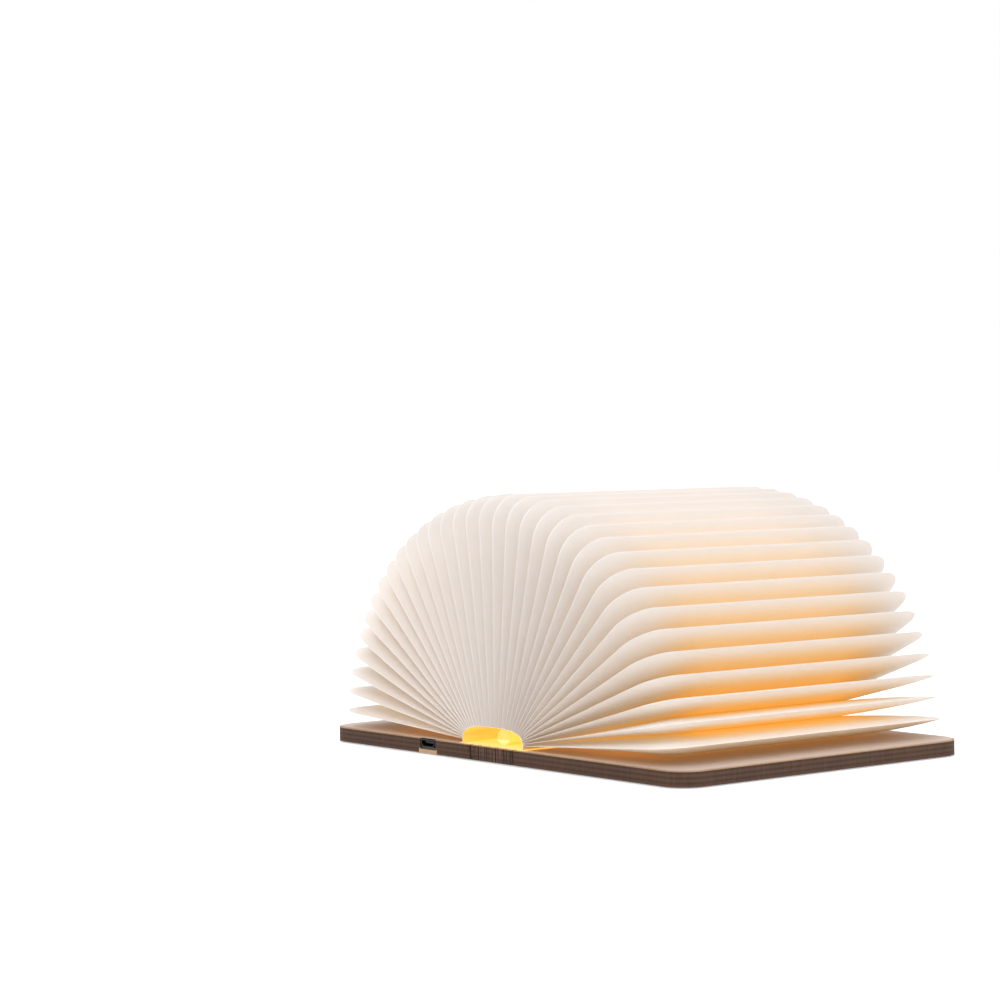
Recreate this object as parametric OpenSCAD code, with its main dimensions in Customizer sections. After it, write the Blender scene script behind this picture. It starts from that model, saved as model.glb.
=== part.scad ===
// Folding book lamp: two wooden covers on a slit spine, a fan of paper leaves and a light bar.
// Millimetres and degrees. +X runs from the spine to the back cover's fore edge, +Y from the
// tail to the head, +Z up. The lamp lies open and flat, and the origin is on its resting face
// under the middle of the spine. Closing turns each cover up by 90 degrees about the spine.

/* [Cover boards] */
// Length of the covers and the spine, tail to head
book_h = 122; // [110:1:160]
// Reach of an open cover, from the middle of the spine to its fore edge
cover_reach = 91; // [84:1:120]
// Thickness of the wood
board_t = 4.8; // [4.6:0.1:6]
// Radius of the covers' corners at the fore edge
corner_r = 9; // [2:0.5:16]
// Thickness of the paper lining on the inner faces
liner_t = 0.25; // [0.1:0.05:0.3]
// Margin between the lining and the wood's edge
liner_margin = 0.8; // [0.3:0.1:3]

/* [Slit spine] */
// Spacing of the slits that open to the tail and the head
rib_pitch = 4.4; // [4.2:0.05:5]
// Width of a slit
slit_w = 0.5; // [0.45:0.01:0.6]
// Depth of the bending line below the wood's inner face
hinge_depth = 0.6; // [0.3:0.05:0.7]
// Length of wood left at each end of a rib's own slit
end_bridge = 7.8; // [4:0.1:14]
// Length of the tab that bridges two ribs at mid height
mid_bridge = 8.4; // [4:0.1:14]
// Gap between a tab and the rib that it meets
tab_gap = 0.05; // [0.03:0.01:0.1]
// Distance from a slit's wall to the edge of the lining beside it
liner_setback = 0.3; // [0.1:0.05:0.5]

/* [Paper leaves] */
// Leaves on each side of the spine's middle
leaves_per_side = 17; // [17]
// Thickness of a leaf
leaf_t = 0.26; // [0.16:0.01:0.3]
// Angle between an open cover and its first leaf
first_angle = 4.2; // [4:0.1:6]
// Room left between a cover's lining and its leaves when the book is closed
closing_gap = 0.56; // [0.4:0.02:0.8]
// Height of the fan's middle above the spine's lining
bind_lift = 0.35; // [0.3:0.05:0.6]
// Half the width of the arch that the leaves' inner edges form over the light bar
arch_half_w = 15; // [14:0.5:16]
// Height of the arch's foot above the spine's lining
arch_foot = 0.45; // [0.35:0.05:0.8]
// Room between the diffuser and the top of the arch
root_gap = 0.75; // [0.6:0.05:0.9]
// How squarely the arch is rounded: 2 is an ellipse
arch_square = 2.2; // [2:0.1:3]
// How closely the lower leaves stand together at the arch's foot: 1 is evenly spread
arch_bunching = 1.4; // [1.3:0.05:1.5]
// Distance from the first leaf's tip to the cover's fore edge
fore_margin = 6; // [4:0.5:12]
// How much further the topmost leaves reach than the first
leaf_crown = 1.5; // [0:0.5:5]
// How far the leaves between them reach out further still
leaf_swell = 1.4; // [0:0.1:3]
// Distance from the leaves' ends to the tail and the head
page_inset = 0.4; // [0.2:0.1:4]
// Radius of the leaves' outer corners
page_corner_r = 10; // [2:0.5:14]

/* [Light bar] */
// Distance from the bar's ends to the tail and the head
bar_inset = 5; // [3:0.5:15]
// Width of the bar's foot on the middle rib
bar_foot_w = 2.8; // [2:0.1:3]
// Height of the bar's foot
bar_foot_h = 0.4; // [0.3:0.1:0.8]
// Outer radius of the half-round diffuser
diffuser_r = 3; // [2.8:0.1:3.1]
// Wall of the diffuser
diffuser_wall = 0.5; // [0.4:0.1:0.6]
// Thickness of the diffuser's closed ends
diffuser_end = 0.8; // [0.5:0.1:1.5]
// Height of the diffuser's straight legs
diffuser_leg = 0.4; // [0.3:0.1:0.6]
// Thickness of the bar's tray under the circuit strip
tray_t = 0.5; // [0.3:0.1:0.8]
// Width of the circuit strip
strip_w = 4; // [3.4:0.1:4.2]
// Thickness of the circuit strip
strip_t = 0.5; // [0.3:0.1:0.6]
// Gap between the circuit strip and the diffuser's closed ends
strip_end_gap = 0.5; // [0.3:0.1:1]
// Number of light-emitting diodes on the strip
led_count = 12; // [6:1:16]
// Length of a diode, along the strip
led_l = 3.5; // [2.5:0.1:4]
// Width of a diode
led_w = 2.8; // [2:0.1:3]
// Height of a diode
led_t = 0.7; // [0.5:0.1:0.8]
// Radius of a diode's light window
led_window_r = 1.1; // [0.5:0.1:1.1]
// Depth of a diode's light window
led_window_d = 0.15; // [0.1:0.05:0.3]

/* [Charging parts in the front cover] */
// Wood left under the pockets
pocket_floor = 1.2; // [1:0.1:1.4]
// Clearance around what lies in a pocket
pocket_gap = 0.5; // [0.3:0.1:1]
// Length of the battery, along the spine
battery_l = 50; // [40:1:56]
// Width of the battery
battery_w = 30; // [20:1:34]
// Thickness of the battery
battery_t = 3.2; // [2.5:0.1:3.3]
// Distance from the spine's middle to the battery's near side
battery_x = 26; // [20:1:36]
// Corner radius of the battery's long edges
battery_r = 1.2; // [0.6:0.1:1.25]
// Width of the charging board
board_w = 18; // [14:1:20]
// Length of the charging board behind the tail wall
board_l = 20; // [18:1:26]
// Thickness of the charging board
board_pcb_t = 0.8; // [0.6:0.1:1]
// Distance from the spine's middle to the middle of the charging socket
socket_x = 34; // [30:1:40]
// Width of the charging socket
socket_w = 7.5; // [7:0.1:8]
// Height of the charging socket
socket_h = 2.5; // [2.2:0.1:2.6]
// Depth of the charging socket
socket_l = 5.5; // [4.5:0.1:7]
// Wall of the charging socket's shell
socket_wall = 0.3; // [0.2:0.05:0.4]
// Thickness of the socket's contact tongue
tongue_t = 0.6; // [0.4:0.1:0.8]
// Thickness of the wood behind the tail edge, beside the socket
tail_wall = 1.6; // [1.2:0.1:2.5]
// Distance from the board's edge to the middle of its switch sensor
sensor_inset = 3; // [2:0.5:4]
// Diameter of a lead
lead_d = 0.9; // [0.6:0.1:1.2]
// Spacing of a pair of leads
lead_pitch = 1.3; // [1.25:0.05:2]
// Length of a lead that lies on its solder pad
lead_pad = 2; // [1:0.5:3]
// Distance from the spine to the ends of its leads
lead_setback = 0.5; // [0.3:0.1:1]

/* [Magnets] */
// Radius of a closing magnet
magnet_r = 3; // [2:0.25:3]
// Thickness of a closing magnet
magnet_t = 2; // [1:0.25:2.5]
// Distance from a closing magnet's middle to the fore edge
magnet_edge = 7; // [5:0.5:10]
// Distance from a closing magnet's middle to the tail or the head
magnet_end = 11; // [9:0.5:16]
// Radius of the small magnet that works the switch sensor
trigger_r = 2; // [1:0.25:2.5]
// Thickness of the small magnet
trigger_t = 1.5; // [1:0.25:2.5]
// Clearance around a magnet in its pocket
magnet_gap = 0.1; // [0.05:0.05:0.3]

/* [Hidden] */
$fn = 64;
cut = 1; // how far a cutting shape runs past the face that it opens

ribs_per_side = 2;
rib_count = 2 * ribs_per_side + 1;
page_count = 2 * leaves_per_side;
fold_step = 90 / (ribs_per_side + 1);
rib_w = rib_pitch - slit_w;
hinge_z = board_t - hinge_depth;
liner_step = slit_w / 2 + liner_setback; // from a bending line to the lining's edge
spine_edge = (ribs_per_side + 0.5) * rib_pitch + slit_w / 2;
lined_z = board_t + liner_t;

// The folded spine is half a regular polygon, so this is the closed book's half gap.
closed_half_gap = rib_pitch / (2 * tan(fold_step / 2)) - hinge_depth - liner_t;
leaf_pitch = (closed_half_gap - closing_gap) / leaves_per_side;
leaf_step = (180 - 2 * first_angle) / (page_count - 1);
bind_z = lined_z + bind_lift;
page_h = book_h - 2 * page_inset;
first_tip = (cover_reach - fore_margin - leaf_x(0)) / cos(first_angle);

bar_l = book_h - 2 * bar_inset;
tray_z = lined_z + bar_foot_h + (diffuser_r - bar_foot_w / 2) * 0.5;
strip_z = tray_z + tray_t;
strip_l = bar_l - 2 * (diffuser_end + strip_end_gap);
led_z = strip_z + strip_t;
led_step = (strip_l - 2 * led_l) / (led_count - 1);

arch_z = lined_z + arch_foot;
arch_h = strip_z + diffuser_leg + diffuser_r + root_gap - arch_z;

tail_y = -book_h / 2;
board_y = tail_y + tail_wall + pocket_gap;
pcb_z = pocket_floor + board_pcb_t;
notch_w = socket_w + 2 * pocket_gap;
battery_y = board_y + board_l + 2 * pocket_gap + tail_wall + pocket_gap;
lead_z = pcb_z + lead_d / 2;
spine_lead_y = board_y + board_l - lead_pad - lead_pitch;
sensor_y = board_y + board_l / 2;
controller_size = [3, 3, 0.9];
coil_size = [4, 4, 1.8];
capacitor_size = [2, 1.25, 0.8];
charge_light_size = [1.6, 0.8, 0.6];
sensor_size = [1.6, 2.9, 1.1];
sensor_x = socket_x - board_w / 2 + sensor_inset;

PAGES = [for (n = [1 : page_count]) str("page_", n < 10 ? "0" : "", n)];
RIBS = [for (n = [1 : rib_count]) str("spine_rib_", n)];
SPINE_LINERS = [for (n = [1 : rib_count]) str("spine_lining_", n)];

cover_white = [0.83, 0.81, 0.81];
lining_cream = [0.93, 0.88, 0.84];
paper_cream = [0.97, 0.92, 0.85];

// Leaf k of a side counts from the cover (0) up to the top of the fan. It runs from a point of
// the arch over the light bar to a point of the fan's rim, both given as [x, z].
function rim_angle(k) = first_angle + k * leaf_step;
function rim_r(k) = first_tip + leaf_crown * pow(sin(rim_angle(k)), 2)
    + leaf_swell * pow(sin(2 * rim_angle(k)), 2);
function rim(k) = [leaf_x(k) + rim_r(k) * cos(rim_angle(k)), bind_z + rim_r(k) * sin(rim_angle(k))];
function arch_share(k) = 1 - pow((k + 0.5) / leaves_per_side, arch_bunching);
function arch(k) = [arch_half_w * arch_share(k),
    arch_z + arch_h * pow(1 - pow(arch_share(k), arch_square), 1 / arch_square)];

// It swings about the point of its own plane at its place in the closed stack, leaf_x across.
// Its two edges are measured from there.
function leaf_x(k) = leaf_pitch * (leaves_per_side - k - 0.5);
function leaf_angle(k) = atan2(rim(k).y - arch(k).y, rim(k).x - arch(k).x);
function leaf_root(k) = (arch(k).x - leaf_x(k)) / cos(leaf_angle(k));
function leaf_tip(k) = (rim(k).x - leaf_x(k)) / cos(leaf_angle(k));
function leaf_z(k) = arch(k).y - leaf_root(k) * sin(leaf_angle(k));

// A plate's outline from x0 to x1 with rounded corners at x1 only.
module leaf_outline(x0, x1, length, r) {
    translate([x0, -length / 2]) square([x1 - r - x0, length]);
    translate([x0, r - length / 2]) square([x1 - x0, length - 2 * r]);
    for (side = [-1, 1]) translate([x1 - r, side * (length / 2 - r)]) circle(r);
}

// ---- covers and linings, drawn for the back cover and mirrored for the front ----

module cover_board() {
    linear_extrude(board_t) leaf_outline(spine_edge, cover_reach, book_h, corner_r);
}

module closing_magnet_places() {
    for (side = [-1, 1])
        translate([cover_reach - magnet_edge, side * (book_h / 2 - magnet_end), 0]) children();
}

module magnet_pockets() {
    closing_magnet_places()
        translate([0, 0, board_t - magnet_t]) cylinder(h = magnet_t + cut, r = magnet_r + magnet_gap);
}

module pocket(x0, x1, y0, y1, z0) {
    translate([x0, y0, z0]) cube([x1 - x0, y1 - y0, board_t - z0 + cut]);
}

module front_cover() {
    color(cover_white) mirror([1, 0, 0]) difference() {
        cover_board();
        magnet_pockets();
        // battery pocket
        pocket(battery_x - pocket_gap, battery_x + battery_w + pocket_gap,
            battery_y - pocket_gap, battery_y + battery_l + pocket_gap, pocket_floor);
        // charging board pocket and the socket's notch in the tail edge
        pocket(socket_x - board_w / 2 - pocket_gap, socket_x + board_w / 2 + pocket_gap,
            board_y - pocket_gap, board_y + board_l + pocket_gap, pocket_floor);
        pocket(socket_x - notch_w / 2, socket_x + notch_w / 2, tail_y - cut, board_y, pocket_floor);
        // lead channels: battery to board, and board to spine
        pocket(socket_x - lead_pitch / 2 - lead_d, socket_x + lead_pitch / 2 + lead_d,
            board_y + board_l, battery_y, pcb_z - pocket_gap / 2);
        pocket(spine_edge - cut, socket_x - board_w / 2, spine_lead_y - lead_pitch / 2 - lead_d,
            spine_lead_y + lead_pitch / 2 + lead_d, pcb_z - pocket_gap / 2);
    }
}

module back_cover() {
    color(cover_white) difference() {
        cover_board();
        magnet_pockets();
        translate([sensor_x, sensor_y, board_t - trigger_t])
            cylinder(h = trigger_t + cut, r = trigger_r + magnet_gap);
    }
}

module lining() {
    translate([0, 0, board_t]) linear_extrude(liner_t)
        leaf_outline(spine_edge - slit_w / 2 + liner_step, cover_reach - liner_margin,
            book_h - 2 * liner_margin, corner_r - liner_margin);
}

module front_lining() { color(lining_cream) mirror([1, 0, 0]) lining(); }
module back_lining() { color(lining_cream) lining(); }

// ---- slit spine ----

// Rib n counts from the front cover. Its own slit is closed at both ends, and tabs on the side
// away from the middle bridge the open slit to the next rib or cover.
module spine_rib(n) {
    place = n - 1 - ribs_per_side;
    tab_sides = place < 0 ? [-1] : place > 0 ? [1] : [-1, 1];
    tab_l = slit_w - tab_gap;
    color(cover_white) translate([place * rib_pitch, 0, 0]) {
        linear_extrude(board_t) difference() {
            square([rib_w, book_h], center = true);
            square([slit_w, book_h - 2 * end_bridge], center = true);
        }
        for (side = tab_sides) translate([side * (rib_w + tab_l) / 2, 0, 0])
            linear_extrude(hinge_z) square([tab_l, mid_bridge], center = true);
    }
}

module spine_lining(n) {
    color(lining_cream) translate([(n - 1 - ribs_per_side) * rib_pitch, 0, board_t])
        linear_extrude(liner_t)
            square([rib_pitch - 2 * liner_step, book_h - 2 * liner_margin], center = true);
}

// ---- light bar on the middle rib ----

module along_spine(length) {
    rotate([90, 0, 0]) linear_extrude(length, center = true) children();
}

module light_bar_base() {
    foot = bar_foot_w / 2;
    color("silver") along_spine(bar_l) polygon([
        [-foot, lined_z], [foot, lined_z], [foot, lined_z + bar_foot_h],
        [diffuser_r, tray_z], [diffuser_r, strip_z], [-diffuser_r, strip_z],
        [-diffuser_r, tray_z], [-foot, lined_z + bar_foot_h]
    ]);
}

module led_strip_board() {
    color("whitesmoke") translate([-strip_w / 2, -strip_l / 2, strip_z])
        cube([strip_w, strip_l, strip_t]);
}

module leds() {
    color("gold") for (n = [0 : led_count - 1])
        translate([0, -strip_l / 2 + led_l + n * led_step, led_z]) difference() {
            translate([-led_w / 2, -led_l / 2, 0]) cube([led_w, led_l, led_t]);
            translate([0, 0, led_t - led_window_d]) cylinder(h = cut, r = led_window_r);
        }
}

module arch_profile(r, leg) {
    translate([0, leg]) difference() {
        circle(r);
        translate([-r - cut, -2 * r]) square([2 * (r + cut), 2 * r]);
    }
    translate([-r, 0]) square([2 * r, leg]);
}

module light_diffuser() {
    color("khaki") translate([0, 0, strip_z]) {
        along_spine(bar_l) difference() {
            arch_profile(diffuser_r, diffuser_leg);
            arch_profile(diffuser_r - diffuser_wall, diffuser_leg);
        }
        for (side = [-1, 1]) translate([0, side * (bar_l - diffuser_end) / 2, 0])
            along_spine(diffuser_end) arch_profile(diffuser_r, diffuser_leg);
    }
}

// ---- charging parts, drawn at +X and mirrored into the front cover ----

module battery() {
    color("slategray") mirror([1, 0, 0])
        translate([battery_x + battery_r, battery_y + battery_l / 2, pocket_floor])
            along_spine(battery_l) {
                translate([0, 0]) square([battery_w - 2 * battery_r, battery_t]);
                translate([-battery_r, battery_r])
                    square([battery_w, battery_t - 2 * battery_r]);
                for (x = [0, battery_w - 2 * battery_r], z = [battery_r, battery_t - battery_r])
                    translate([x, z]) circle(battery_r, $fn = 32);
            }
}

module charging_board() {
    color("seagreen") mirror([1, 0, 0]) translate([0, 0, pocket_floor])
        linear_extrude(board_pcb_t) {
            translate([socket_x - board_w / 2, board_y]) square([board_w, board_l]);
            translate([socket_x - notch_w / 2 + pocket_gap / 2, tail_y + pocket_gap])
                square([notch_w - pocket_gap, board_y - tail_y]);
        }
}

// A chip of the given size, centred on x, y and seated on the board.
module chip(x, y, size) {
    translate([x - size[0] / 2, y - size[1] / 2, pcb_z]) cube(size);
}

module charging_board_parts() {
    color("dimgray") mirror([1, 0, 0]) {
        chip(socket_x, board_y + board_l * 0.45, controller_size);
        chip(socket_x + board_w * 0.3, board_y + board_l * 0.45, coil_size);
        chip(socket_x + board_w * 0.3, board_y + board_l * 0.75, capacitor_size);
        chip(socket_x - board_w * 0.3, board_y + board_l * 0.2, charge_light_size);
        chip(sensor_x, sensor_y, sensor_size);
    }
}

module usb_socket() {
    rise = socket_h * 0.4;
    slope = socket_w * 0.12;
    back_t = socket_l * 0.18;
    inner_w = socket_w - 2 * socket_wall;
    color("silver") mirror([1, 0, 0]) translate([socket_x, tail_y + socket_l / 2, pcb_z]) {
        along_spine(socket_l) difference() {
            polygon([[-socket_w / 2 + slope, 0], [socket_w / 2 - slope, 0], [socket_w / 2, rise],
                [socket_w / 2, socket_h], [-socket_w / 2, socket_h], [-socket_w / 2, rise]]);
            polygon([[-inner_w / 2 + slope, socket_wall], [inner_w / 2 - slope, socket_wall],
                [inner_w / 2, rise + socket_wall / 2], [inner_w / 2, socket_h - socket_wall],
                [-inner_w / 2, socket_h - socket_wall], [-inner_w / 2, rise + socket_wall / 2]]);
        }
        // back plate and contact tongue
        translate([-inner_w / 2 + slope, socket_l / 2 - back_t, socket_wall / 2])
            cube([inner_w - 2 * slope, back_t, socket_h - socket_wall]);
        translate([-inner_w / 2 + slope, -socket_l / 2 + back_t, socket_h / 2])
            cube([inner_w - 2 * slope, socket_l - back_t * 1.5, tongue_t]);
    }
}

module lead(from, length, direction) {
    translate(from) rotate(direction) cylinder(h = length, d = lead_d, $fn = 24);
}

module leads() {
    battery_run = battery_y - (board_y + board_l - lead_pad);
    spine_run = socket_x - board_w / 2 + lead_pad - spine_edge - lead_setback;
    color("firebrick") mirror([1, 0, 0]) for (side = [-1, 1]) {
        lead([socket_x + side * lead_pitch / 2, battery_y - battery_run, lead_z],
            battery_run, [-90, 0, 0]);
        lead([spine_edge + lead_setback, spine_lead_y + side * lead_pitch / 2, lead_z],
            spine_run, [0, 90, 0]);
    }
}

// ---- magnets ----

module closing_magnets() {
    closing_magnet_places()
        translate([0, 0, board_t - magnet_t]) cylinder(h = magnet_t, r = magnet_r);
}

module front_magnets() { color("lightslategray") mirror([1, 0, 0]) closing_magnets(); }

module back_magnets() {
    color("lightslategray") {
        closing_magnets();
        translate([sensor_x, sensor_y, board_t - trigger_t]) cylinder(h = trigger_t, r = trigger_r);
    }
}

// ---- paper leaves ----

// Page n counts from the front cover round to the back cover.
module page(n) {
    front = n <= leaves_per_side;
    k = front ? n - 1 : page_count - n;
    color(paper_cream) mirror([front ? 1 : 0, 0, 0])
        translate([leaf_x(k), 0, leaf_z(k)]) rotate([0, -leaf_angle(k), 0])
            translate([0, 0, -leaf_t / 2]) linear_extrude(leaf_t)
                leaf_outline(leaf_root(k), leaf_tip(k), page_h, page_corner_r);
}

front_cover();
back_cover();
front_lining();
back_lining();
for (n = [1 : rib_count]) spine_rib(n);
for (n = [1 : rib_count]) spine_lining(n);
light_bar_base();
led_strip_board();
leds();
light_diffuser();
battery();
charging_board();
charging_board_parts();
usb_socket();
leads();
front_magnets();
back_magnets();
for (n = [1 : page_count]) page(n);
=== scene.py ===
import math
import bpy
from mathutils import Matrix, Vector


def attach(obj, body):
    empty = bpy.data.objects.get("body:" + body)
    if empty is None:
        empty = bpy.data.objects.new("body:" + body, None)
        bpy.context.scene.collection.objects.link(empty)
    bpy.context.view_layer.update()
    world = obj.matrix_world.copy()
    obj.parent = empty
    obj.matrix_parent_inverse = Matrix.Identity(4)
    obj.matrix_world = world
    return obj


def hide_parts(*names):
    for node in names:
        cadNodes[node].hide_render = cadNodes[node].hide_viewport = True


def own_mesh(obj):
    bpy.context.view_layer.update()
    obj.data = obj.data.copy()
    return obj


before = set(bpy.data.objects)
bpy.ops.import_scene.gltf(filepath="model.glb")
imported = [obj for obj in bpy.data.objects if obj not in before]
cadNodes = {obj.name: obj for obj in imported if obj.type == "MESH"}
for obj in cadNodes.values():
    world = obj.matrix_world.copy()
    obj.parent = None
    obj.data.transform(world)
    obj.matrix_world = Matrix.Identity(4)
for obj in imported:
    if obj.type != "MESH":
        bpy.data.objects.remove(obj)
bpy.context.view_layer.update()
print("loaded", len(cadNodes), "solids")

# camera, at the photograph's viewing angle
viewpoint = {
    "place": (0.67533287, -0.58470708, 0.10469640),
    "turn": (88.58969355, 0.85877873, 51.91694543),
    "lens": 96.704636,
}
viewTurn = [math.radians(angle) for angle in viewpoint["turn"]]
bpy.ops.object.camera_add(location=viewpoint["place"], rotation=viewTurn)
camera = bpy.context.active_object
camera.name = "camera"
camera.data.lens = viewpoint["lens"]
camera.data.sensor_width = 36
camera.data.clip_start = 0.01
bpy.context.scene.camera = camera
bpy.context.scene.view_settings.view_transform = "Standard"


# selection and mesh helpers

def makeActive(*pieces):
    if bpy.context.mode != "OBJECT":
        bpy.ops.object.mode_set(mode="OBJECT")
    bpy.ops.object.select_all(action="DESELECT")
    for piece in pieces:
        piece.select_set(True)
    if pieces:
        bpy.context.view_layer.objects.active = pieces[0]


def workOn(piece, mode="EDGE"):
    makeActive(piece)
    bpy.ops.object.mode_set(mode="EDIT")
    bpy.ops.mesh.select_mode(type=mode)
    bpy.ops.mesh.select_all(action="DESELECT")
    bpy.ops.object.mode_set(mode="OBJECT")


def pickEdges(piece, test):
    mesh = piece.data
    for edge in mesh.edges:
        edge.select = test(*[mesh.vertices[i].co for i in edge.vertices])
    bpy.ops.object.mode_set(mode="EDIT")


def moveSelected(piece, axis, place):
    bpy.ops.object.mode_set(mode="OBJECT")
    for vertex in piece.data.vertices:
        if vertex.select:
            vertex.co[axis] = place


def mergeAll():
    bpy.ops.object.mode_set(mode="EDIT")
    bpy.ops.mesh.select_all(action="SELECT")
    bpy.ops.mesh.remove_doubles(threshold=1e-7)


def finishEdit():
    bpy.ops.mesh.select_all(action="DESELECT")
    bpy.ops.object.mode_set(mode="OBJECT")


# shader helpers

def fillSockets(tree, sockets, values):
    # another node's output is linked, a plain value is set
    for socket, value in zip(sockets, values):
        if isinstance(value, bpy.types.NodeSocket):
            tree.links.new(value, socket)
        else:
            socket.default_value = value


def startMaterial(name, **fixed):
    material = bpy.data.materials.new(name)
    material.use_nodes = True
    shader = material.node_tree.nodes["Principled BSDF"]
    for socket, value in fixed.items():
        shader.inputs[socket.replace("_", " ")].default_value = value
    return material, material.node_tree, shader


def addNode(tree, kind, settings=None, **links):
    node = tree.nodes.new("ShaderNode" + kind)
    for key, value in (settings or {}).items():
        setattr(node, key, value)
    for key, value in links.items():
        counted = key[0] == "i" and key[1:].isdigit()  # i0, i1 and so on count the sockets
        socket = node.inputs[int(key[1:]) if counted else key.replace("_", " ")]
        fillSockets(tree, [socket], [value])
    return node


def maths(tree, operation, *values, clamp=False):
    node = addNode(tree, "Math", {"operation": operation, "use_clamp": clamp})
    fillSockets(tree, node.inputs, values)
    return node.outputs[0]


def blendColours(tree, amount, first, second):
    node = addNode(tree, "Mix", {"data_type": "RGBA"})
    fillSockets(tree, [node.inputs["Factor"], node.inputs[6], node.inputs[7]], [amount, first, second])
    return node.outputs[2]


def remap(tree, value, low, high, toLow=0.0, toHigh=1.0, smooth=True):
    node = addNode(tree, "MapRange", {"interpolation_type": "SMOOTHSTEP" if smooth else "LINEAR"})
    fillSockets(tree, node.inputs, (value, low, high, toLow, toHigh))
    return node.outputs[0]


def vectorMaths(tree, operation, first, second):
    return addNode(tree, "VectorMath", {"operation": operation}, i0=first, i1=second).outputs[0]


def scaleColour(tree, colour, strength):
    return addNode(tree, "VectorMath", {"operation": "SCALE"}, i0=colour, Scale=strength).outputs[0]


def lengthOf(tree, vector):
    return addNode(tree, "VectorMath", {"operation": "LENGTH"}, i0=vector).outputs["Value"]


def splitAxes(tree, vector):
    return addNode(tree, "SeparateXYZ", None, Vector=vector).outputs


def newGroup(name, inputs, outputs):
    group = bpy.data.node_groups.new(name, "ShaderNodeTree")
    for socketName, kind, value in inputs:
        socket = group.interface.new_socket(socketName, in_out="INPUT", socket_type="NodeSocket" + kind)
        if value is not None:
            socket.default_value = value
    for socketName in outputs:
        group.interface.new_socket(socketName, in_out="OUTPUT", socket_type="NodeSocketFloat")
    given = group.nodes.new("NodeGroupInput").outputs
    result = group.nodes.new("NodeGroupOutput").inputs
    return group, given, result


def placeGroup(tree, group, **links):
    node = tree.nodes.new("ShaderNodeGroup")
    node.node_tree = group
    fillSockets(tree, [node.inputs[key] for key in links], links.values())
    return node.outputs


def objectPlace(tree):
    return addNode(tree, "TexCoord").outputs["Object"]


def addBump(tree, shader, height, strength, distance):
    bump = addNode(tree, "Bump", None, Strength=strength, Distance=distance, Height=height)
    tree.links.new(bump.outputs[0], shader.inputs["Normal"])


# shared effects

def makePaperFibre():
    inputs = [("Vector", "Vector", None), ("Scale", "Float", 900.0), ("Cloud", "Float", 60.0)]
    group, given, result = newGroup("paperFibre", inputs, ("Tone", "Height"))
    place, scale = given["Vector"], given["Scale"]
    fine = addNode(
        group, "TexNoise", None, Vector=place, Scale=scale, Detail=5.0, Roughness=0.6, Distortion=0.6
    )
    cloud = addNode(group, "TexNoise", None, Vector=place, Scale=given["Cloud"], Detail=3.0, Roughness=0.55)
    hairs = addNode(group, "TexVoronoi", {"feature": "DISTANCE_TO_EDGE"}, Vector=place, Scale=scale)
    fineShare = maths(group, "MULTIPLY", fine.outputs[0], 0.6)
    cloudShare = maths(group, "MULTIPLY", cloud.outputs[0], 0.4)
    hairShare = maths(group, "MULTIPLY", hairs.outputs[0], 0.5)
    group.links.new(maths(group, "ADD", fineShare, cloudShare), result["Tone"])
    group.links.new(maths(group, "ADD", fine.outputs[0], hairShare), result["Height"])
    return group


def makeFineSpeckle():
    inputs = [("Vector", "Vector", None), ("Scale", "Float", 600.0), ("Stretch", "Vector", (1.0, 1.0, 1.0))]
    group, given, result = newGroup("fineSpeckle", inputs, ("Tone", "Height"))
    drawn = vectorMaths(group, "MULTIPLY", given["Vector"], given["Stretch"])
    grain = addNode(group, "TexNoise", None, Vector=drawn, Scale=given["Scale"], Detail=4.0, Roughness=0.6)
    worn = addNode(group, "TexNoise", None, Vector=given["Vector"], Scale=70.0, Detail=3.0)
    grainShare = maths(group, "MULTIPLY", grain.outputs[0], 0.65)
    wornShare = maths(group, "MULTIPLY", worn.outputs[0], 0.35)
    group.links.new(maths(group, "ADD", grainShare, wornShare), result["Tone"])
    group.links.new(grain.outputs[0], result["Height"])
    return group


paperFibre = makePaperFibre()
fineSpeckle = makeFineSpeckle()

# paper leaves with a painted glow standing in for the light from inside, a base colour painted amber where
# that glow is amber (painted light and shade), and a painted highlight along the folds; inset runs from a
# fold's outer edge (0) to the valley beside it (1), glow and amber are worked out for each point of a leaf in
# leafLight
leafPaper = {
    "sheet": (0.87, 0.83, 0.80, 1), "paintedAmberSheet": (0.82, 0.58, 0.24, 1),
    "paintedFoldHighlight": (0.93, 0.885, 0.87, 1), "paintedHighlightEnds": (0.004, 0.016),
    "fleck": (0.76, 0.68, 0.63, 1), "fleckShare": 0.14,
    "cream": (1.0, 0.74, 0.48, 1), "amberGlow": (1.0, 0.58, 0.12, 1),
    "evenGlow": 0.93, "cloudyGlow": 0.14,
    "fibre": 1400.0, "cloud": 90.0, "rough": (0.52, 0.72), "bump": 0.35, "bumpDepth": 0.00006,
}


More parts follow.
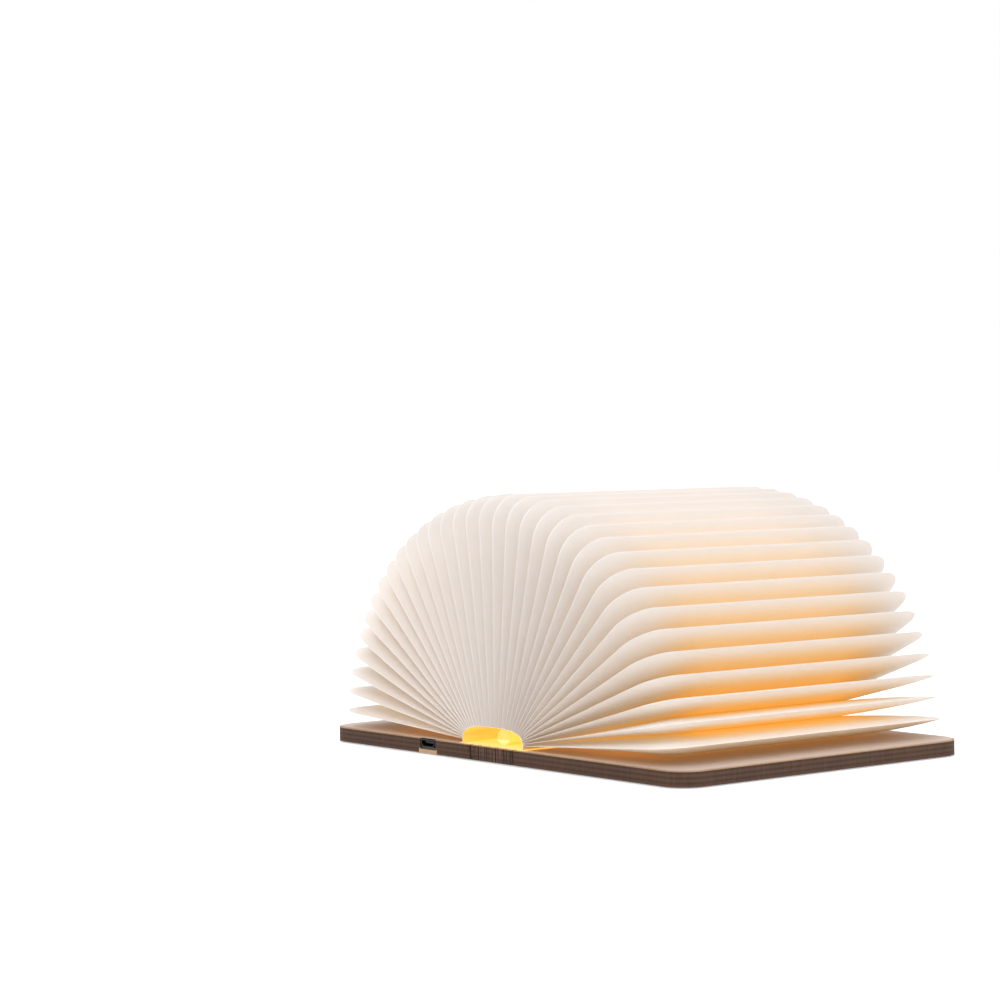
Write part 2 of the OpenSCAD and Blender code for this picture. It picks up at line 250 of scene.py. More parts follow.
def makeLeafPaper():
    material, tree, shader = startMaterial("leafPaper", Roughness=0.62, Emission_Strength=1.0)
    inset, glow, amber = [
        addNode(tree, "Attribute", {"attribute_name": name}).outputs["Fac"]
        for name in ("inset", "glow", "amber")
    ]
    fibre = placeGroup(
        tree, paperFibre, Vector=objectPlace(tree), Scale=leafPaper["fibre"], Cloud=leafPaper["cloud"]
    )
    # painted highlight: the paper is lighter along each fold's outer edge
    inwards = remap(tree, inset, *leafPaper["paintedHighlightEnds"])
    base = blendColours(tree, inwards, leafPaper["paintedFoldHighlight"], leafPaper["sheet"])
    # painted amber light and shade: the base colour turns amber where the glow is amber
    base = blendColours(tree, amber, base, leafPaper["paintedAmberSheet"])
    fleck = maths(tree, "MULTIPLY", fibre["Tone"], leafPaper["fleckShare"])
    tree.links.new(blendColours(tree, fleck, base, leafPaper["fleck"]), shader.inputs["Base Color"])
    cloudy = maths(tree, "MULTIPLY", fibre["Tone"], leafPaper["cloudyGlow"])
    strength = maths(tree, "MULTIPLY", glow, maths(tree, "ADD", leafPaper["evenGlow"], cloudy))
    light = blendColours(tree, amber, leafPaper["cream"], leafPaper["amberGlow"])
    tree.links.new(scaleColour(tree, light, strength), shader.inputs["Emission Color"])
    tree.links.new(remap(tree, fibre["Tone"], 0.3, 0.7, *leafPaper["rough"]), shader.inputs["Roughness"])
    addBump(tree, shader, fibre["Height"], leafPaper["bump"], leafPaper["bumpDepth"])
    return material


# the folds that close the leaves over the light bar: a painted glow, amber on the front cover's side, yellow
# on the other, over a dark amber base colour that is painted shade and amber light, not the paper's own
# colour
innerFold = {
    "sheet": (0.30, 0.20, 0.08, 1), "fleckShare": 0.2,
    "amber": (0.84, 0.49, 0.065, 1), "amberDeep": (0.74, 0.38, 0.045, 1), "yellow": (0.93, 0.62, 0.10, 1),
    "yellowFrom": -0.002, "yellowTo": 0.007, "streakStretch": (1.0, 0.06, 1.0),
}


def makeInnerFold():
    material, tree, shader = startMaterial("innerFold", Roughness=0.6, Emission_Strength=1.0)
    place = objectPlace(tree)
    fibre = placeGroup(tree, paperFibre, Vector=place, Scale=1200.0, Cloud=160.0)
    streaks = placeGroup(tree, fineSpeckle, Vector=place, Scale=700.0, Stretch=innerFold["streakStretch"])
    across = splitAxes(tree, place)[0]
    fleck = maths(tree, "MULTIPLY", fibre["Tone"], innerFold["fleckShare"])
    # painted shade and amber light: a dark amber base colour instead of the paper's own
    base = blendColours(tree, fleck, innerFold["sheet"], innerFold["amber"])
    tree.links.new(base, shader.inputs["Base Color"])
    streaky = remap(tree, streaks["Tone"], 0.38, 0.6)
    amber = blendColours(tree, streaky, innerFold["amberDeep"], innerFold["amber"])
    yellowness = remap(tree, across, innerFold["yellowFrom"], innerFold["yellowTo"])
    light = blendColours(tree, yellowness, amber, innerFold["yellow"])
    tree.links.new(light, shader.inputs["Emission Color"])
    tree.links.new(remap(tree, fibre["Tone"], 0.3, 0.7, 0.5, 0.7), shader.inputs["Roughness"])
    addBump(tree, shader, fibre["Height"], leafPaper["bump"], leafPaper["bumpDepth"])
    return material


# lining sheets: painted amber light beside the bar and from under the lowest leaves, a base colour painted
# amber-brown under the leaves for their shade and glow, plain at the fore edge
liningPaper = {
    "plain": (0.66, 0.54, 0.47, 1), "paintedTintColour": (0.60, 0.40, 0.26, 1),
    "paintedTintFrom": 0.088, "paintedTintTo": 0.040,
    "endsFrom": 0.060, "endsTo": 0.042, "paintedTintAtEnds": 0.35,
    "fleck": (0.36, 0.28, 0.24, 1), "fleckShare": 0.14,
    "glow": (0.85, 0.40, 0.13), "underLeaves": 0.28,
    "lit": (0.93, 0.58, 0.08), "besideBar": 0.7, "litFrom": 0.0185, "litTo": 0.0155,
}


def makeLiningPaper():
    material, tree, shader = startMaterial("liningPaper", Roughness=0.6, Emission_Strength=1.0)
    place = objectPlace(tree)
    fibre = placeGroup(tree, paperFibre, Vector=place, Scale=1200.0, Cloud=70.0)
    across, along = [maths(tree, "ABSOLUTE", splitAxes(tree, place)[i]) for i in (0, 1)]
    # painted shade and amber light: the base colour turns amber-brown towards the spine under the leaves,
    # less so at tail and head
    inwards = remap(tree, across, liningPaper["paintedTintFrom"], liningPaper["paintedTintTo"])
    ends = remap(
        tree, along, liningPaper["endsFrom"], liningPaper["endsTo"], liningPaper["paintedTintAtEnds"], 1.0
    )
    paintedTint = maths(tree, "MULTIPLY", inwards, ends)
    base = blendColours(tree, paintedTint, liningPaper["plain"], liningPaper["paintedTintColour"])
    fleck = maths(tree, "MULTIPLY", fibre["Tone"], liningPaper["fleckShare"])
    tree.links.new(blendColours(tree, fleck, base, liningPaper["fleck"]), shader.inputs["Base Color"])
    underLeaves = maths(tree, "MULTIPLY", paintedTint, liningPaper["underLeaves"])
    besideBar = remap(
        tree, across, liningPaper["litFrom"], liningPaper["litTo"], 0.0, liningPaper["besideBar"]
    )
    light = vectorMaths(
        tree, "ADD",
        scaleColour(tree, liningPaper["glow"], underLeaves),
        scaleColour(tree, liningPaper["lit"], besideBar),
    )
    tree.links.new(light, shader.inputs["Emission Color"])
    tree.links.new(remap(tree, fibre["Tone"], 0.3, 0.7, 0.5, 0.68), shader.inputs["Roughness"])
    addBump(tree, shader, fibre["Height"], 0.3, 0.00005)
    return material


# cover and spine board: printed outer face, raw inner face, laser-burnt edges
coverBoard = {
    "print": (0.63, 0.61, 0.62, 1), "printFleck": (0.5, 0.47, 0.47, 1),
    "rawWood": (0.62, 0.39, 0.22, 1), "rawGrain": (0.42, 0.23, 0.12, 1),
    "burnt": (0.042, 0.020, 0.012, 1), "burntLight": (0.112, 0.058, 0.036, 1),
    "plyTurns": 4100.0, "plyDepth": 0.28, "plyMiddle": 0.30, "streakShare": 0.55,
    "soot": (0.016, 0.009, 0.007, 1), "scorched": (0.17, 0.105, 0.075, 1),
    "spineFrom": 0.0135, "spineTo": 0.0105,
    "rim": (0.42, 0.26, 0.15, 1), "rimFrom": 0.00445, "rimTo": 0.00465,
    "ink": (0.035, 0.035, 0.045, 1), "yellow": (0.80, 0.50, 0.06, 1), "line": 0.00035,
}
# the notch in clean wood under the socket: its middle left of the spine, then where its side and top fade
notch = {"middle": 0.034, "sideFrom": 0.0052, "sideTo": 0.0046, "topFrom": 0.0016, "topTo": 0.0013}
# leaf sprigs with round berries on the front cover:
# x, y, half width, half length (mm), turn in degrees, filled or not
coverMarks = [
    (-70.0, 30.0, 1.0, 13.0, 0, 0), (-63.5, 36.0, 3.6, 7.0, -52, 0), (-76.5, 31.0, 3.6, 7.0, 52, 0),
    (-63.8, 24.5, 3.4, 6.4, -56, 0), (-76.2, 19.6, 3.2, 6.2, 56, 0), (-70.0, 46.5, 4.0, 4.0, 0, 1),
    (-38.0, -18.0, 1.2, 23.0, 8, 0), (-27.0, -8.0, 5.6, 11.0, -48, 0), (-50.5, -10.0, 5.6, 11.0, 60, 0),
    (-25.5, -28.0, 5.0, 9.6, -44, 0), (-46.5, -33.0, 5.0, 9.6, 62, 0), (-41.5, 10.0, 6.6, 6.6, 0, 1),
    (-66.0, -30.0, 3.4, 3.4, 0, 1), (-72.0, -6.0, 2.4, 2.4, 0, 1),
]


def makeOvalMark():
    inputs = [
        ("Vector", "Vector", None), ("Middle", "Vector", (0.0, 0.0, 0.0)), ("Turn", "Float", 0.0),
        ("HalfSize", "Vector", (1.0, 1.0, 1.0)), ("Line", "Float", 0.0004),
    ]
    group, given, result = newGroup("ovalMark", inputs, ("Outline", "Fill"))
    shifted = vectorMaths(group, "SUBTRACT", given["Vector"], given["Middle"])
    turned = addNode(group, "VectorRotate", {"rotation_type": "Z_AXIS"}, Vector=shifted, Angle=given["Turn"])
    sized = vectorMaths(group, "DIVIDE", turned.outputs[0], given["HalfSize"])
    radius = lengthOf(group, vectorMaths(group, "MULTIPLY", sized, (1.0, 1.0, 0.0)))
    off = maths(group, "ABSOLUTE", maths(group, "SUBTRACT", radius, 1.0))
    gap = maths(group, "MULTIPLY", off, splitAxes(group, given["HalfSize"])[0])
    group.links.new(maths(group, "LESS_THAN", gap, given["Line"]), result["Outline"])
    group.links.new(maths(group, "LESS_THAN", radius, 1.0), result["Fill"])
    return group


def addCoverMarks(tree, place, printed):
    ovalMark = makeOvalMark()
    outlines, fills = [], []
    for x, y, halfWide, halfLong, turn, filled in coverMarks:
        mark = placeGroup(
            tree, ovalMark, Vector=place, Middle=(x / 1000, y / 1000, 0.0), Turn=math.radians(turn),
            HalfSize=(halfWide / 1000, halfLong / 1000, 1.0), Line=coverBoard["line"],
        )
        outlines.append(mark["Outline"])
        if filled:
            fills.append(mark["Fill"])
    for masks, colour in ((fills, coverBoard["yellow"]), (outlines, coverBoard["ink"])):
        joined = masks[0]
        for mask in masks[1:]:
            joined = maths(tree, "MAXIMUM", joined, mask)
        printed = blendColours(tree, joined, printed, colour)
    return printed


def makeBoardEdge(tree, place, streaks, marks):
    # burnt plies with upright streaks, sooty between the spine's slits, and a paler rim along the top
    across, height = [splitAxes(tree, place)[i] for i in (0, 2)]
    wave = maths(tree, "SINE", maths(tree, "MULTIPLY", height, coverBoard["plyTurns"]))
    plies = maths(tree, "ADD", maths(tree, "MULTIPLY", wave, coverBoard["plyDepth"]), coverBoard["plyMiddle"])
    upright = maths(tree, "MULTIPLY", remap(tree, streaks["Tone"], 0.35, 0.65), coverBoard["streakShare"])
    burnt = maths(tree, "ADD", upright, plies, clamp=True)
    edge = blendColours(tree, burnt, coverBoard["burnt"], coverBoard["burntLight"])
    scorch = placeGroup(tree, fineSpeckle, Vector=place, Scale=1500.0, Stretch=(1.0, 0.05, 0.04))
    fromMiddle = maths(tree, "ABSOLUTE", across)
    spine = remap(tree, fromMiddle, coverBoard["spineFrom"], coverBoard["spineTo"])
    for colour, low, high in ((coverBoard["soot"], 0.50, 0.62), (coverBoard["scorched"], 0.44, 0.37)):
        share = maths(tree, "MULTIPLY", spine, remap(tree, scorch["Height"], low, high))
        edge = blendColours(tree, share, edge, colour)
    rim = remap(tree, height, coverBoard["rimFrom"], coverBoard["rimTo"])
    edge = blendColours(tree, rim, edge, coverBoard["rim"])
    if marks:
        fromNotch = maths(tree, "ABSOLUTE", maths(tree, "ADD", across, notch["middle"]))
        sides = remap(tree, fromNotch, notch["sideFrom"], notch["sideTo"])
        top = remap(tree, height, notch["topFrom"], notch["topTo"])
        edge = blendColours(tree, maths(tree, "MULTIPLY", sides, top), edge, coverBoard["rawWood"])
    return edge, height


def makeCoverBoard(name, marks):
    material, tree, shader = startMaterial(name, Roughness=0.6, Specular_IOR_Level=0.3)
    place = objectPlace(tree)
    facing = splitAxes(tree, addNode(tree, "TexCoord").outputs["Normal"])[2]
    streaks = placeGroup(tree, fineSpeckle, Vector=place, Scale=900.0, Stretch=(1.0, 1.0, 0.12))
    speck = placeGroup(tree, fineSpeckle, Vector=place, Scale=500.0, Stretch=(1.0, 0.25, 1.0))
    edge, height = makeBoardEdge(tree, place, streaks, marks)
    grain = remap(tree, speck["Tone"], 0.35, 0.65)
    wood = blendColours(tree, grain, coverBoard["rawWood"], coverBoard["rawGrain"])
    fleck = maths(tree, "MULTIPLY", speck["Tone"], 0.12)
    printed = blendColours(tree, fleck, coverBoard["print"], coverBoard["printFleck"])
    if marks:
        printed = addCoverMarks(tree, place, printed)
    colour = blendColours(tree, maths(tree, "GREATER_THAN", facing, 0.7), edge, wood)
    facesDown = maths(tree, "LESS_THAN", facing, -0.7)
    outer = maths(tree, "MULTIPLY", facesDown, maths(tree, "LESS_THAN", height, 0.0001))
    tree.links.new(blendColours(tree, outer, colour, printed), shader.inputs["Base Color"])
    tree.links.new(remap(tree, streaks["Tone"], 0.3, 0.7, 0.6, 0.85), shader.inputs["Roughness"])
    addBump(tree, shader, maths(tree, "ADD", streaks["Height"], speck["Height"]), 0.4, 0.00012)
    return material


# plain finishes: two colours in fine speckles, and two colours of light where the piece glows
plainFinishes = {
    # the bar's metal: its warm base colour and amber glow are painted light from the diodes beside it
    "barMetalPaintedGlow": {
        "colours": ((0.72, 0.60, 0.40, 1), (0.78, 0.66, 0.45, 1)), "scale": 700.0,
        "stretch": (1.0, 0.05, 1.0), "rough": (0.28, 0.42),
        "glow": ((0.80, 0.42, 0.05, 1), (0.90, 0.50, 0.06, 1)), "Metallic": 0.6, "Emission_Strength": 0.7,
    },
    "stripBoard": {
        "colours": ((0.80, 0.80, 0.77, 1), (0.86, 0.86, 0.84, 1)), "scale": 900.0, "rough": (0.35, 0.5),
    },
    "diodeWindow": {
        "colours": ((0.95, 0.72, 0.22, 1), (1.0, 0.80, 0.35, 1)), "scale": 1500.0, "rough": (0.2, 0.35),
        "glow": ((1.0, 0.72, 0.30, 1), (1.0, 0.80, 0.42, 1)), "Emission_Strength": 1.0,
    },
    # painted amber light: a dark amber-brown base colour instead of the frosted plastic's own, under the
    # diffuser's glow
    "frostedDiffuser": {
        "colours": ((0.45, 0.30, 0.10, 1), (0.50, 0.34, 0.12, 1)), "scale": 800.0, "rough": (0.45, 0.6),
        "glow": ((0.94, 0.60, 0.09, 1), (0.97, 0.66, 0.12, 1)), "Emission_Strength": 0.8,
    },
    "batteryFoil": {
        "colours": ((0.50, 0.52, 0.56, 1), (0.62, 0.64, 0.68, 1)), "scale": 300.0,
        "stretch": (1.0, 0.3, 1.0), "rough": (0.25, 0.45), "depth": 0.0001, "Metallic": 0.85,
    },
    # painted shade: the board's green is darkened nearly to black
    "circuitBoardPaintedShade": {
        "colours": ((0.008, 0.026, 0.016, 1), (0.012, 0.038, 0.022, 1)), "scale": 1100.0,
        "rough": (0.3, 0.45),
    },
    "mouldedBlack": {
        "colours": ((0.016, 0.016, 0.018, 1), (0.035, 0.035, 0.038, 1)), "scale": 1600.0,
        "rough": (0.45, 0.6),
    },
    "socketSteel": {
        "colours": ((0.02, 0.02, 0.022, 1), (0.055, 0.055, 0.06, 1)), "scale": 1300.0,
        "stretch": (0.2, 1.0, 1.0), "rough": (0.3, 0.5), "Metallic": 0.9,
    },
    "leadJacket": {
        "colours": ((0.40, 0.03, 0.02, 1), (0.50, 0.045, 0.03, 1)), "scale": 900.0, "rough": (0.4, 0.55),
    },
    "magnetNickel": {
        "colours": ((0.60, 0.59, 0.57, 1), (0.70, 0.69, 0.67, 1)), "scale": 500.0, "rough": (0.15, 0.3),
        "Metallic": 1.0,
    },
}


def makePlainFinish(name, colours, scale, rough, stretch=(1.0, 1.0, 1.0), depth=0.00004, glow=None, **fixed):
    material, tree, shader = startMaterial(name, **fixed)
    speck = placeGroup(tree, fineSpeckle, Vector=objectPlace(tree), Scale=scale, Stretch=stretch)
    tone = remap(tree, speck["Tone"], 0.35, 0.65)
    tree.links.new(blendColours(tree, tone, *colours), shader.inputs["Base Color"])
    tree.links.new(remap(tree, speck["Tone"], 0.3, 0.7, *rough), shader.inputs["Roughness"])
    if glow:
        tree.links.new(blendColours(tree, tone, *glow), shader.inputs["Emission Color"])
    addBump(tree, shader, speck["Height"], 0.3, depth)
    return material


finishes = {
    "frontCoverBoard": makeCoverBoard("frontCoverBoard", True),
    "plainCoverBoard": makeCoverBoard("plainCoverBoard", False),
    "liningPaper": makeLiningPaper(),
    "leafPaper": makeLeafPaper(),
    "innerFold": makeInnerFold(),
}
for name, values in plainFinishes.items():
    finishes[name] = makePlainFinish(name, **values)

# finishes by the start of a solid's name; the leaves' solids, not listed, are paper
nodeFinish = {
    "front_cover": "frontCoverBoard", "back_cover": "plainCoverBoard", "spine_rib": "plainCoverBoard",
    "front_lining": "liningPaper", "back_lining": "liningPaper", "spine_lining": "liningPaper",
    "light_bar_base": "barMetalPaintedGlow", "led_strip_board": "stripBoard", "leds": "diodeWindow",
    "light_diffuser": "frostedDiffuser", "battery": "batteryFoil",
    "charging_board_parts": "mouldedBlack", "charging_board": "circuitBoardPaintedShade",
    "usb_socket": "socketSteel", "leads": "leadJacket",
    "front_magnets": "magnetNickel", "back_magnets": "magnetNickel",
}
for name, solid in cadNodes.items():
    chosen = [finish for start, finish in nodeFinish.items() if name.startswith(start)]
    for place in solid.material_slots:
        place.material = finishes[chosen[0] if chosen else "leafPaper"]
print("finishes given to the solids")

# accordion leaves: one open pleat is modelled flat, opened, and copied to every leaf
pleat = {
    "tip": 0.0700, "halfLength": 0.0606, "cornerRadius": 0.010,
    "depth": 0.024, "valleyRadius": 0.004, "lip": 0.0008,
    "opened": 0.0020, "sheet": 0.0001, "pillow": 0.82,
    "keep": 0.06,  # the share of its thickness a pleat would keep in a closed book
    "cutsAlong": 11, "cutsAcross": 17, "cutsInwards": 6, "cornerCuts": 8,
}
fan = {
    "perSide": 17, "firstAngle": 4.2, "pitch": 0.00040003, "middleHeight": 0.0054,
    "liningHeight": 0.00505, "liningGap": 0.00012,
    "firstReach": 0.078609, "crown": 0.0015, "swell": 0.0014,
    "flare": 0.0016,  # how much further out the leaves' ends reach at the rim than at the arch
}
fan["step"] = (180 - 2 * fan["firstAngle"]) / (2 * fan["perSide"] - 1)
# the arch that the paper's folds follow
paperArch = {"halfWidth": 0.0155, "foot": 0.0059, "rise": 0.0052, "square": 3.0, "bunching": 2.4}


def atInnerEnd(a, b):
    return max(a.x, b.x) < 1e-6


def makeOutline(name, tip, half, radius, inset):
    makeActive()
    bpy.ops.mesh.primitive_plane_add(size=1, location=(tip / 2, 0, 0))
    outline = bpy.context.active_object
    outline.name = name
    outline.scale = (tip, 2 * half, 1)
    bpy.ops.object.transform_apply(location=True, rotation=True, scale=True)
    workOn(outline, "VERT")
    for corner in outline.data.vertices:
        corner.select = corner.co.x > tip - 1e-6
    bpy.ops.object.mode_set(mode="EDIT")
    bpy.ops.mesh.bevel(
        offset=radius, offset_type="OFFSET", segments=pleat["cornerCuts"], affect="VERTICES", profile=0.5
    )
    bpy.ops.mesh.select_all(action="SELECT")
    bpy.ops.mesh.delete(type="ONLY_FACE")
    workOn(outline)
    pickEdges(outline, atInnerEnd)
    bpy.ops.mesh.delete(type="EDGE")
    for cuts, axis in ((pleat["cutsAlong"], 1), (pleat["cutsAcross"], 0)):
        workOn(outline)
        pickEdges(outline, lambda a, b: abs(a[axis] - b[axis]) < 1e-7 and (a - b).length > radius * 0.6)
        bpy.ops.mesh.subdivide(number_cuts=cuts)
        finishEdit()
    depth = outline.data.attributes.new("inset", "FLOAT", "POINT")
    depth.data.foreach_set("value", [inset] * len(outline.data.vertices))
    return outline


def insetsOf(piece):
    return [item.value for item in piece.data.attributes["inset"].data]


def bridgeRings(piece, low, high, cuts):
    workOn(piece)
    rings = insetsOf(piece)
    for edge in piece.data.edges:
        ends = [rings[i] for i in edge.vertices]
        edge.select = all(min(abs(e - low), abs(e - high)) < 1e-4 for e in ends)
    bpy.ops.object.mode_set(mode="EDIT")
    bpy.ops.mesh.bridge_edge_loops(number_cuts=cuts, interpolation="LINEAR")
    finishEdit()


def makeUpperSheet():
    lipShare = pleat["lip"] / pleat["depth"]
    rings = []
    for name, step, radius, inset in (
        ("pleatBase", 0.0, pleat["cornerRadius"], 0.0),
        ("pleatLip", pleat["lip"], pleat["cornerRadius"] - pleat["lip"], lipShare),
        ("pleatValley", pleat["depth"], pleat["valleyRadius"], 1.0),
    ):
        rings.append(makeOutline(name, pleat["tip"] - step, pleat["halfLength"] - step, radius, inset))
    makeActive(*rings)
    bpy.ops.object.join()
    sheet = rings[0]
    bridgeRings(sheet, 0.0, lipShare, 1)
    bridgeRings(sheet, lipShare, 1.0, pleat["cutsInwards"])
    workOn(sheet, "FACE")
    bpy.ops.object.mode_set(mode="EDIT")
    bpy.ops.mesh.select_all(action="SELECT")
    bpy.ops.mesh.normals_make_consistent(inside=False)
    bpy.ops.object.mode_set(mode="OBJECT")
    if sheet.data.polygons[0].normal.z < 0:
        sheet.data.flip_normals()
    # the sheet lifts from the fold to the valley, where it meets the next leaf's
    for vertex, depth in zip(sheet.data.vertices, insetsOf(sheet)):
        vertex.co.z = pleat["opened"] * depth ** pleat["pillow"]
    return sheet


def closeInnerEnd(sheet):
    # a web closes the valley beside each inner end, clear of the band that closes the leaf's own inner end
    workOn(sheet)
    pickEdges(sheet, atInnerEnd)
    bpy.ops.mesh.duplicate()
    moveSelected(sheet, 0, pleat["sheet"])
    bpy.ops.object.mode_set(mode="EDIT")
    bpy.ops.mesh.extrude_region_move()
    moveSelected(sheet, 2, pleat["opened"])
    workOn(sheet)
    pickEdges(sheet, atInnerEnd)
    bpy.ops.mesh.extrude_region_move()
    moveSelected(sheet, 2, 0.0)
    workOn(sheet, "VERT")
    mergeAll()
    bpy.ops.object.mode_set(mode="OBJECT")


def lineWebs(piece):
    # bands glow, webs are paper outside and glow on their side towards the light bar
    workOn(piece, "FACE")
    mesh = piece.data
    for face in mesh.polygons:
        ends = [mesh.vertices[i].co.x for i in face.vertices]
        face.material_index = int(max(ends) < 1e-7)
        face.select = 1e-7 < min(ends) and max(ends) < 1.1 * pleat["sheet"]
        if face.select and face.normal.x < 0:
            face.flip()
    bpy.ops.object.mode_set(mode="EDIT")
    bpy.ops.mesh.duplicate()
    bpy.ops.mesh.flip_normals()
    bpy.ops.object.mode_set(mode="OBJECT")
    for vertex in mesh.vertices:
        if vertex.select:
            vertex.co.x -= 1.5 * pleat["sheet"]
    for face in mesh.polygons:
        if face.select:
            face.material_index = 1


def makePleat():
    base = makeUpperSheet()
    closeInnerEnd(base)
    mirror = base.modifiers.new("otherSheet", "MIRROR")
    mirror.use_axis = (False, False, True)
    mirror.merge_threshold = 1e-6
    bpy.ops.object.modifier_apply(modifier="otherSheet")
    mergeAll()
    bpy.ops.mesh.normals_make_consistent(inside=False)
    bpy.ops.object.mode_set(mode="OBJECT")
    for finish in ("leafPaper", "innerFold"):
        base.data.materials.append(finishes[finish])
    lineWebs(base)
    return base


def leafShape(k, bow=paperArch):
    # a leaf's plane runs from the arch over the light bar to the fan's rim
    across = fan["pitch"] * (fan["perSide"] - k - 0.5)
    rimAngle = math.radians(fan["firstAngle"] + k * fan["step"])
    bulge = fan["crown"] * math.sin(rimAngle) ** 2 + fan["swell"] * math.sin(2 * rimAngle) ** 2
    rimReach = fan["firstReach"] + bulge
    rimX = across + rimReach * math.cos(rimAngle)
    rimZ = fan["middleHeight"] + rimReach * math.sin(rimAngle)
    share = 1 - ((k + 0.5) / fan["perSide"]) ** bow["bunching"]
    archHeight = bow["foot"] + bow["rise"] * (1 - share ** bow["square"]) ** (1 / bow["square"])
    arch = Vector((bow["halfWidth"] * share, archHeight))
    reach = Vector((rimX, rimZ)) - arch
    along = reach.normalized()
    return {"arch": arch, "along": along, "normal": Vector((-along.y, along.x)), "length": reach.length}


def valleyStep(k, r, up):
    # the way from a point of leaf k, r out from the arch, to the valley it shares with the next leaf
    shape = leafShape(k)
    point = shape["arch"] + shape["along"] * r
    if up and k == fan["perSide"] - 1:  # the topmost leaf meets its mirror image in the middle
        return Vector((-point.x, 0))
    if not up and k == 0:  # the lowest one comes down to the lining
        return Vector((0, fan["liningHeight"] + fan["liningGap"] - point.y))
    other = leafShape(k + 1 if up else k - 1)
    return (other["arch"] + other["along"] * r - point) / 2


def smooth(value, low, high):
    share = min(1.0, max(0.0, (value - low) / (high - low)))
    return share * share * (3 - 2 * share)


# light through the paper: amber low in the fan and deep in the valleys, cream further up,
# weaker at tail and head; the underside of the lowest leaf has its own
leafGlow = {
    "everywhere": 0.02, "low": 0.055, "deep": 0.095, "deepLow": 0.10,
    "endLoss": 0.72, "endFrom": 0.026, "endTo": 0.052,
    "amberLow": 1.15, "amberFall": 1.5, "endAmberLoss": 0.85, "endAmberFrom": 0.034, "endAmberTo": 0.054,
    "paleEdge": 0.34, "paleLeast": 0.10, "paleMost": 0.8, "leanedBack": 6, "nearlyUpright": 1.5,
    "underGlow": (0.02, 0.05), "underAmber": (0.5, 0.4),
}


def palePart(k):
    # the valleys between steep leaves show less deep, and glow up closer to their edges
    steepness = math.radians(leafGlow["leanedBack"] + fan["firstAngle"] + k * fan["step"])
    if steepness >= leafGlow["nearlyUpright"]:
        return leafGlow["paleLeast"]
    return min(leafGlow["paleMost"], max(leafGlow["paleLeast"], leafGlow["paleEdge"] / math.tan(steepness)))


def leafLight(k, inset, y, under):
    rise = k / (fan["perSide"] - 1)
    deep = smooth(inset, 0.0, palePart(k))
    if under and k == 0:
        return [start + growth * deep for start, growth in (leafGlow["underGlow"], leafGlow["underAmber"])]
    endAmber = 1 - leafGlow["endAmberLoss"] * smooth(abs(y), leafGlow["endAmberFrom"], leafGlow["endAmberTo"])
    amber = min(1.0, max(0.0, leafGlow["amberLow"] - leafGlow["amberFall"] * rise)) * deep * endAmber
    inner = deep * (leafGlow["deep"] + leafGlow["deepLow"] * (1 - rise) ** 2)
    endShare = 1 - leafGlow["endLoss"] * smooth(abs(y), leafGlow["endFrom"], leafGlow["endTo"])
    return [leafGlow["everywhere"] + leafGlow["low"] * (1 - rise) ** 2 + inner * endShare, amber]


def openLeaf(leaf, k, side):
    shape = leafShape(k)
    straightEnd = pleat["tip"] - pleat["depth"] - pleat["valleyRadius"]
    # towards a valley a sheet's length comes to the mean of the two leaves that share it
    neighbours = [leafShape(min(max(k + step, 0), fan["perSide"] - 1))["length"] for step in (-1, 1)]
    light = []
    for vertex, depth in zip(leaf.data.vertices, insetsOf(leaf)):
        x, y, z = vertex.co
        share = abs(z) / pleat["opened"]
        length = shape["length"] + (neighbours[z > 0] - shape["length"]) * share / 2
        longer = length - pleat["tip"]
        r = x + longer if x > straightEnd else x * (1 + longer / straightEnd)
        y *= 1 + fan["flare"] / pleat["halfLength"] * r / length
        place = shape["arch"] + shape["along"] * r + valleyStep(k, r, z > 0) * share
        light.append(leafLight(k, depth, y, z < 0))
        vertex.co = (side * place.x, side * y, place.y)
    for name, values in zip(("glow", "amber"), zip(*light)):
        leaf.data.attributes.new(name, "FLOAT", "POINT").data.foreach_set("value", values)


def placeLeaf(base, number):
    front = number <= fan["perSide"]
    k = number - 1 if front else 2 * fan["perSide"] - number
    side = -1 if front else 1
    label = "%02d" % number
    leaf = base.copy()
    leaf.data = base.data.copy()
    leaf.name = leaf.data.name = "paper_leaf_" + label
    bpy.context.scene.collection.objects.link(leaf)
    openLeaf(leaf, k, side)
    makeActive(leaf)
    wall = leaf.modifiers.new("sheet", "SOLIDIFY")
    wall.thickness = pleat["sheet"]
    wall.offset = -1
    bpy.ops.object.modifier_apply(modifier="sheet")
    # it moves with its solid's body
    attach(leaf, "leaf_" + label)
    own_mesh(leaf)
    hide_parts("page_" + label)
    return leaf


pleatBase = makePleat()
makeActive(pleatBase)
bpy.ops.object.shade_smooth_by_angle(angle=math.radians(50))
leaves = [placeLeaf(pleatBase, number) for number in range(1, 2 * fan["perSide"] + 1)]
bpy.data.objects.remove(pleatBase)
print("leaves placed:", len(leaves), "with", len(leaves[0].data.polygons), "faces each")

# floor, world and lamps
studio = {
    "floor": (0.92, 0.92, 0.92, 1), "floorFleck": (0.8, 0.8, 0.8, 1),
    "whiteFrom": 0.10, "whiteTo": 0.45, "whiteBeside": 0.35,
    "world": 0.58, "aim": (0, 0, 0.03),
}
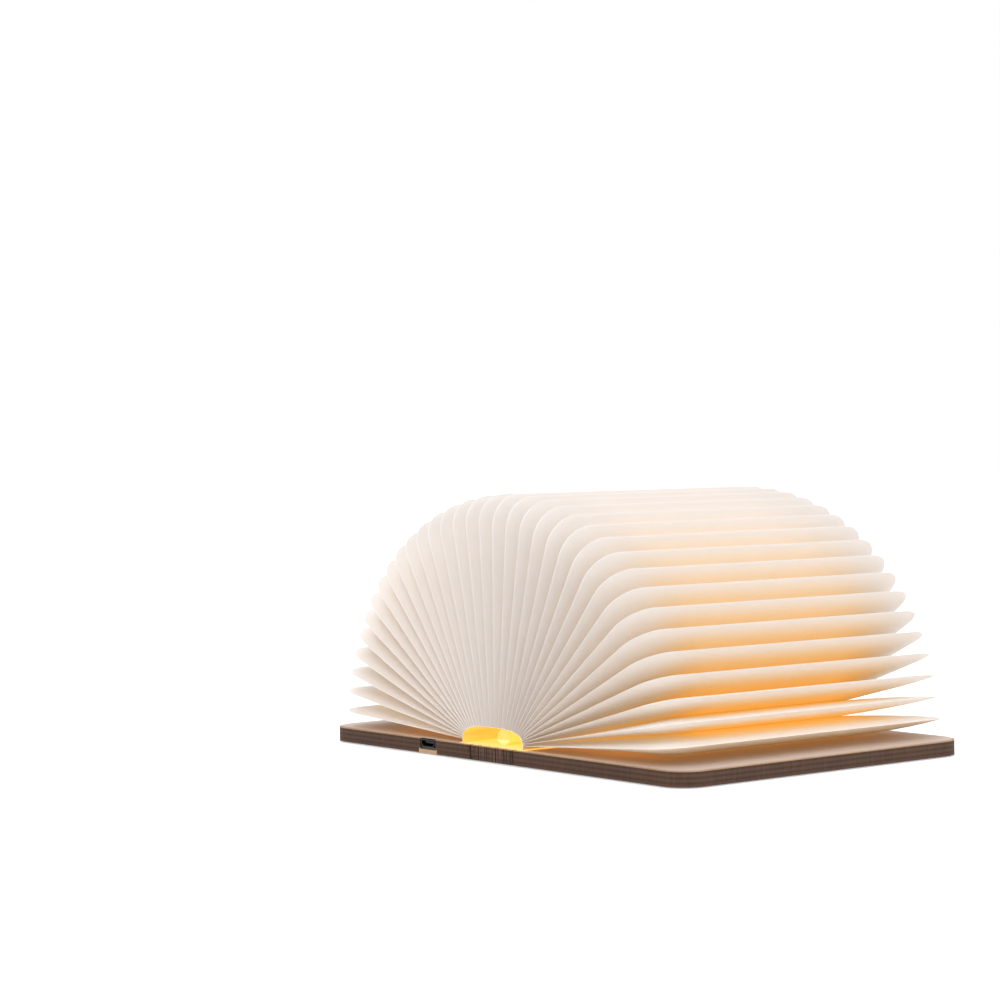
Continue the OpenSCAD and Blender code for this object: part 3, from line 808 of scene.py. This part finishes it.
# place, size and power
lamps = {
    "keyLamp": ((0.5, -0.9, 0.9), 0.8, 6.0),
    "fillLamp": ((1.0, 0.3, 0.5), 0.9, 3.1),
    "topLamp": ((-0.3, 0.1, 1.1), 1.0, 4.0),
}
makeActive()
bpy.ops.mesh.primitive_plane_add(size=8, location=(0, 0, -0.0004))
floor = bpy.context.active_object
floor.name = "floor"


def seenRay(tree):
    # 1 for what the camera sees, straight or through a reflection, and 0 for light that falls on things
    seen = addNode(tree, "LightPath").outputs
    mirrored = maths(tree, "MAXIMUM", seen["Is Glossy Ray"], seen["Is Transmission Ray"])
    return maths(tree, "MAXIMUM", seen["Is Camera Ray"], mirrored)


def makeFloor():
    material, tree, shader = startMaterial("floorPaper", Roughness=0.8, Emission_Strength=1.0)
    place = objectPlace(tree)
    speck = placeGroup(tree, fineSpeckle, Vector=place, Scale=40.0)
    fleck = maths(tree, "MULTIPLY", speck["Tone"], 0.02)
    base = blendColours(tree, fleck, studio["floor"], studio["floorFleck"])
    tree.links.new(base, shader.inputs["Base Color"])
    away = remap(
        tree, lengthOf(tree, place), studio["whiteFrom"], studio["whiteTo"], studio["whiteBeside"], 1.0
    )
    bright = maths(tree, "MULTIPLY", seenRay(tree), away)
    white = addNode(tree, "CombineColor", None, i0=bright, i1=bright, i2=bright)
    tree.links.new(white.outputs[0], shader.inputs["Emission Color"])
    tree.links.new(remap(tree, speck["Tone"], 0.3, 0.7, 0.75, 0.85), shader.inputs["Roughness"])
    return material


def makeWorld():
    world = bpy.data.worlds.new("studioWorld")
    bpy.context.scene.world = world
    world.use_nodes = True
    tree = world.node_tree
    background = tree.nodes["Background"]
    background.inputs["Color"].default_value = (1, 1, 1, 1)
    strength = remap(tree, seenRay(tree), 0.0, 1.0, studio["world"], 1.0, smooth=False)
    tree.links.new(strength, background.inputs["Strength"])


def addLamp(name, place, size, power):
    bpy.ops.object.light_add(type="AREA", location=place)
    lamp = bpy.context.active_object
    lamp.name = name
    lamp.data.shape = "SQUARE"
    lamp.data.size = size
    lamp.data.energy = power
    lamp.rotation_euler = (Vector(studio["aim"]) - Vector(place)).to_track_quat("-Z", "Y").to_euler()


floor.data.materials.append(makeFloor())
makeWorld()
for name, values in lamps.items():
    addLamp(name, *values)
print("studio ready")
